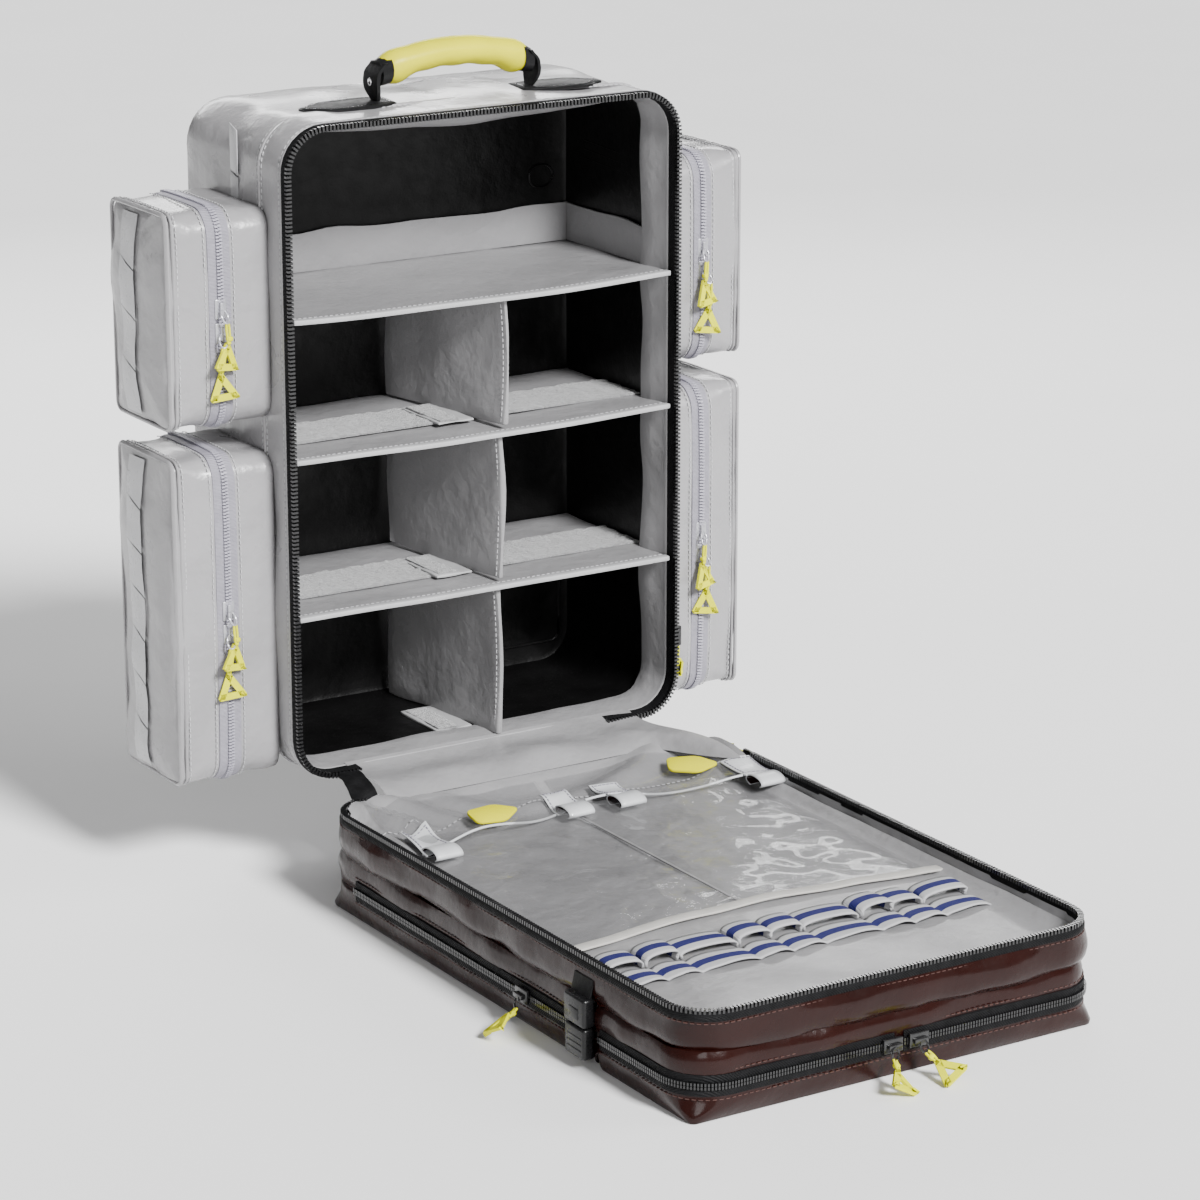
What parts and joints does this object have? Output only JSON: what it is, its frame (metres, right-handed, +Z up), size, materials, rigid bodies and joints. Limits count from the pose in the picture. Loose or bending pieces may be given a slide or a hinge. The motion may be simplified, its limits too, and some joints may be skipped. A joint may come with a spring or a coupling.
{
  "type": "trauma backpack",
  "caption": "Emergency backpack standing open: shelved main body, side pockets with zips, fold-down lid with clear pouches, elastic loops and outer pockets, carrying handle.",
  "frame": {"origin": "centre of the whole footprint, on the surface that the lid's outer face lies on", "axes": "+Z up, +Y from the open lid towards the carrier's back, +X to the right seen from the front"},
  "size_m": [0.564, 0.8622, 0.705],
  "materials": {
    "silver_tarpaulin": "satin",
    "brown_tarpaulin": "satin",
    "grey_lining": "matte",
    "liner_board": "satin",
    "panel_board": "matte",
    "pile_strip": "matte",
    "black_zip": "matte",
    "grey_zip": "matte",
    "slider_body": "satin",
    "neon_grip": "satin",
    "black_webbing": "matte",
    "black_plastic": "satin",
    "rivet_metal": "gloss",
    "clear_film": "gloss",
    "elastic_tape": "matte",
    "black_padding": "matte"
  },
  "bodies": {
    "pack_body": {"pack_shell": "silver_tarpaulin", "rim_facing": "grey_lining", "inner_liner": "liner_board", "main_zip_pack_side": "black_zip", "upper_shelf": "grey_lining", "middle_shelf": "grey_lining", "lower_shelf": "grey_lining", "upper_shelf_flanges": "grey_lining", "loop_strips": "pile_strip", "upper_divider": "grey_lining", "middle_divider": "grey_lining", "lower_divider": "grey_lining", "handle_patches": "black_webbing", "left_upper_pocket_base": "silver_tarpaulin", "right_upper_pocket_base": "silver_tarpaulin", "left_lower_pocket_base": "silver_tarpaulin", "right_lower_pocket_base": "silver_tarpaulin", "side_pocket_zips": "grey_zip", "back_pad": "black_padding", "hip_belt_pad": "black_padding", "hinge_gusset": "grey_lining"},
    "lid": {"lid_tray": "brown_tarpaulin", "lid_inner_panel": "panel_board", "main_zip_lid_side": "black_zip", "clear_pouches": "clear_film", "elastic_loops": "elastic_tape", "hinge_pocket_base": "brown_tarpaulin", "far_pocket_base": "brown_tarpaulin", "compression_straps": "black_webbing", "buckle_sockets": "black_plastic"},
    "handle": {"handle_grip": "neon_grip", "handle_webbing": "black_webbing", "handle_rivets": "rivet_metal"},
    "left_upper_pocket_lid": {"left_upper_pocket_cover": "silver_tarpaulin"},
    "left_upper_pocket_top_zip_slider": {"left_upper_pocket_top_slider": "slider_body"},
    "left_upper_pocket_bottom_zip_slider": {"left_upper_pocket_bottom_slider": "slider_body"},
    "left_lower_pocket_lid": {"left_lower_pocket_cover": "silver_tarpaulin"},
    "left_lower_pocket_top_zip_slider": {"left_lower_pocket_top_slider": "slider_body"},
    "left_lower_pocket_bottom_zip_slider": {"left_lower_pocket_bottom_slider": "slider_body"},
    "left_pouch_flap": {"left_clear_flap": "clear_film"},
    "left_strap": {"left_shoulder_strap": "black_padding"},
    "left_fin": {"left_hip_fin": "black_padding"},
    "left_buckle": {"left_buckle_plug": "black_plastic"},
    "right_upper_pocket_lid": {"right_upper_pocket_cover": "silver_tarpaulin"},
    "right_upper_pocket_top_zip_slider": {"right_upper_pocket_top_slider": "slider_body"},
    "right_upper_pocket_bottom_zip_slider": {"right_upper_pocket_bottom_slider": "slider_body"},
    "right_lower_pocket_lid": {"right_lower_pocket_cover": "silver_tarpaulin"},
    "right_lower_pocket_top_zip_slider": {"right_lower_pocket_top_slider": "slider_body"},
    "right_lower_pocket_bottom_zip_slider": {"right_lower_pocket_bottom_slider": "slider_body"},
    "right_pouch_flap": {"right_clear_flap": "clear_film"},
    "right_strap": {"right_shoulder_strap": "black_padding"},
    "right_fin": {"right_hip_fin": "black_padding"},
    "right_buckle": {"right_buckle_plug": "black_plastic"},
    "hinge_pocket_lid": {"hinge_pocket_cover": "brown_tarpaulin"},
    "far_pocket_lid": {"far_pocket_cover": "brown_tarpaulin"},
    "hinge_pocket_zip_slider": {"hinge_pocket_slider": "slider_body"},
    "far_pocket_left_zip_slider": {"far_pocket_left_slider": "slider_body"},
    "far_pocket_right_zip_slider": {"far_pocket_right_slider": "slider_body"},
    "main_zip_slider_on_body": {"main_zip_body_slider": "slider_body"},
    "main_zip_slider_on_lid": {"main_zip_lid_slider": "slider_body"}
  },
  "joints": [
    {"name": "lid_hinge", "type": "hinge", "parent": "pack_body", "child": "lid", "pos_m": [0, 0.20508, 0.068], "axis": [1, 0, 0], "range_deg": [-90, 0], "deforming": ["hinge_gusset"]},
    {"name": "handle_swing", "type": "hinge", "parent": "pack_body", "child": "handle", "pos_m": [0, 0.28508, 0.6562], "axis": [1, 0, 0], "range_deg": [-40, 40]},
    {"name": "left_upper_pocket_fold", "type": "hinge", "parent": "pack_body", "child": "left_upper_pocket_lid", "pos_m": [-0.237, 0.37208, 0], "axis": [0, 0, -1], "range_deg": [0, 100]},
    {"name": "left_upper_pocket_top_zip", "type": "slide", "parent": "left_upper_pocket_lid", "child": "left_upper_pocket_top_zip_slider", "axis": [0, 0, 1], "range_m": [0, 0.062]},
    {"name": "left_upper_pocket_bottom_zip", "type": "slide", "parent": "left_upper_pocket_lid", "child": "left_upper_pocket_bottom_zip_slider", "axis": [0, 0, -1], "range_m": [0, 0.062]},
    {"name": "left_lower_pocket_fold", "type": "hinge", "parent": "pack_body", "child": "left_lower_pocket_lid", "pos_m": [-0.237, 0.37208, 0], "axis": [0, 0, -1], "range_deg": [0, 100]},
    {"name": "left_lower_pocket_top_zip", "type": "slide", "parent": "left_lower_pocket_lid", "child": "left_lower_pocket_top_zip_slider", "axis": [0, 0, 1], "range_m": [0, 0.1]},
    {"name": "left_lower_pocket_bottom_zip", "type": "slide", "parent": "left_lower_pocket_lid", "child": "left_lower_pocket_bottom_zip_slider", "axis": [0, 0, -1], "range_m": [0, 0.112]},
    {"name": "left_flap_lift", "type": "hinge", "parent": "lid", "child": "left_pouch_flap", "pos_m": [0, 0.16108, 0.0718], "axis": [-1, 0, 0], "range_deg": [0, 110]},
    {"name": "left_strap_swing", "type": "hinge", "parent": "pack_body", "child": "left_strap", "pos_m": [0, 0.41958, 0.597], "axis": [1, 0, 0], "range_deg": [0, 60]},
    {"name": "left_fin_unfold", "type": "hinge", "parent": "pack_body", "child": "left_fin", "pos_m": [-0.112, 0.42158, 0], "axis": [0, 0, 1], "range_deg": [0, 170]},
    {"name": "left_buckle_release", "type": "slide", "parent": "lid", "child": "left_buckle", "axis": [0, 0, -1], "range_m": [0, 0.02]},
    {"name": "right_upper_pocket_fold", "type": "hinge", "parent": "pack_body", "child": "right_upper_pocket_lid", "pos_m": [0.237, 0.37208, 0], "axis": [0, 0, 1], "range_deg": [0, 100]},
    {"name": "right_upper_pocket_top_zip", "type": "slide", "parent": "right_upper_pocket_lid", "child": "right_upper_pocket_top_zip_slider", "axis": [0, 0, 1], "range_m": [0, 0.062]},
    {"name": "right_upper_pocket_bottom_zip", "type": "slide", "parent": "right_upper_pocket_lid", "child": "right_upper_pocket_bottom_zip_slider", "axis": [0, 0, -1], "range_m": [0, 0.062]},
    {"name": "right_lower_pocket_fold", "type": "hinge", "parent": "pack_body", "child": "right_lower_pocket_lid", "pos_m": [0.237, 0.37208, 0], "axis": [0, 0, 1], "range_deg": [0, 100]},
    {"name": "right_lower_pocket_top_zip", "type": "slide", "parent": "right_lower_pocket_lid", "child": "right_lower_pocket_top_zip_slider", "axis": [0, 0, 1], "range_m": [0, 0.1]},
    {"name": "right_lower_pocket_bottom_zip", "type": "slide", "parent": "right_lower_pocket_lid", "child": "right_lower_pocket_bottom_zip_slider", "axis": [0, 0, -1], "range_m": [0, 0.112]},
    {"name": "right_flap_lift", "type": "hinge", "parent": "lid", "child": "right_pouch_flap", "pos_m": [0, 0.16108, 0.0718], "axis": [-1, 0, 0], "range_deg": [0, 110]},
    {"name": "right_strap_swing", "type": "hinge", "parent": "pack_body", "child": "right_strap", "pos_m": [0, 0.41958, 0.597], "axis": [1, 0, 0], "range_deg": [0, 60]},
    {"name": "right_fin_unfold", "type": "hinge", "parent": "pack_body", "child": "right_fin", "pos_m": [0.112, 0.42158, 0], "axis": [0, 0, -1], "range_deg": [0, 170]},
    {"name": "right_buckle_release", "type": "slide", "parent": "lid", "child": "right_buckle", "axis": [0, 0, -1], "range_m": [0, 0.02]},
    {"name": "hinge_pocket_fold", "type": "hinge", "parent": "lid", "child": "hinge_pocket_lid", "pos_m": [0, 0.18108, 0.029], "axis": [1, 0, 0], "range_deg": [0, 90]},
    {"name": "far_pocket_fold", "type": "hinge", "parent": "lid", "child": "far_pocket_lid", "pos_m": [0, -0.23992, 0], "axis": [1, 0, 0], "range_deg": [0, 90]},
    {"name": "hinge_pocket_zip", "type": "slide", "parent": "hinge_pocket_lid", "child": "hinge_pocket_zip_slider", "axis": [0, 1, 0], "range_m": [-0.05, 0.28]},
    {"name": "far_pocket_left_zip", "type": "slide", "parent": "far_pocket_lid", "child": "far_pocket_left_zip_slider", "axis": [-1, 0, 0], "range_m": [0, 0.125]},
    {"name": "far_pocket_right_zip", "type": "slide", "parent": "far_pocket_lid", "child": "far_pocket_right_zip_slider", "axis": [1, 0, 0], "range_m": [0, 0.125]},
    {"name": "main_zip_up_body", "type": "slide", "parent": "pack_body", "child": "main_zip_slider_on_body", "axis": [0, 0, 1], "range_m": [0, 0.42]},
    {"name": "main_zip_along_lid", "type": "slide", "parent": "lid", "child": "main_zip_slider_on_lid", "axis": [0, -1, 0], "range_m": [0, 0.42]}
  ]
}
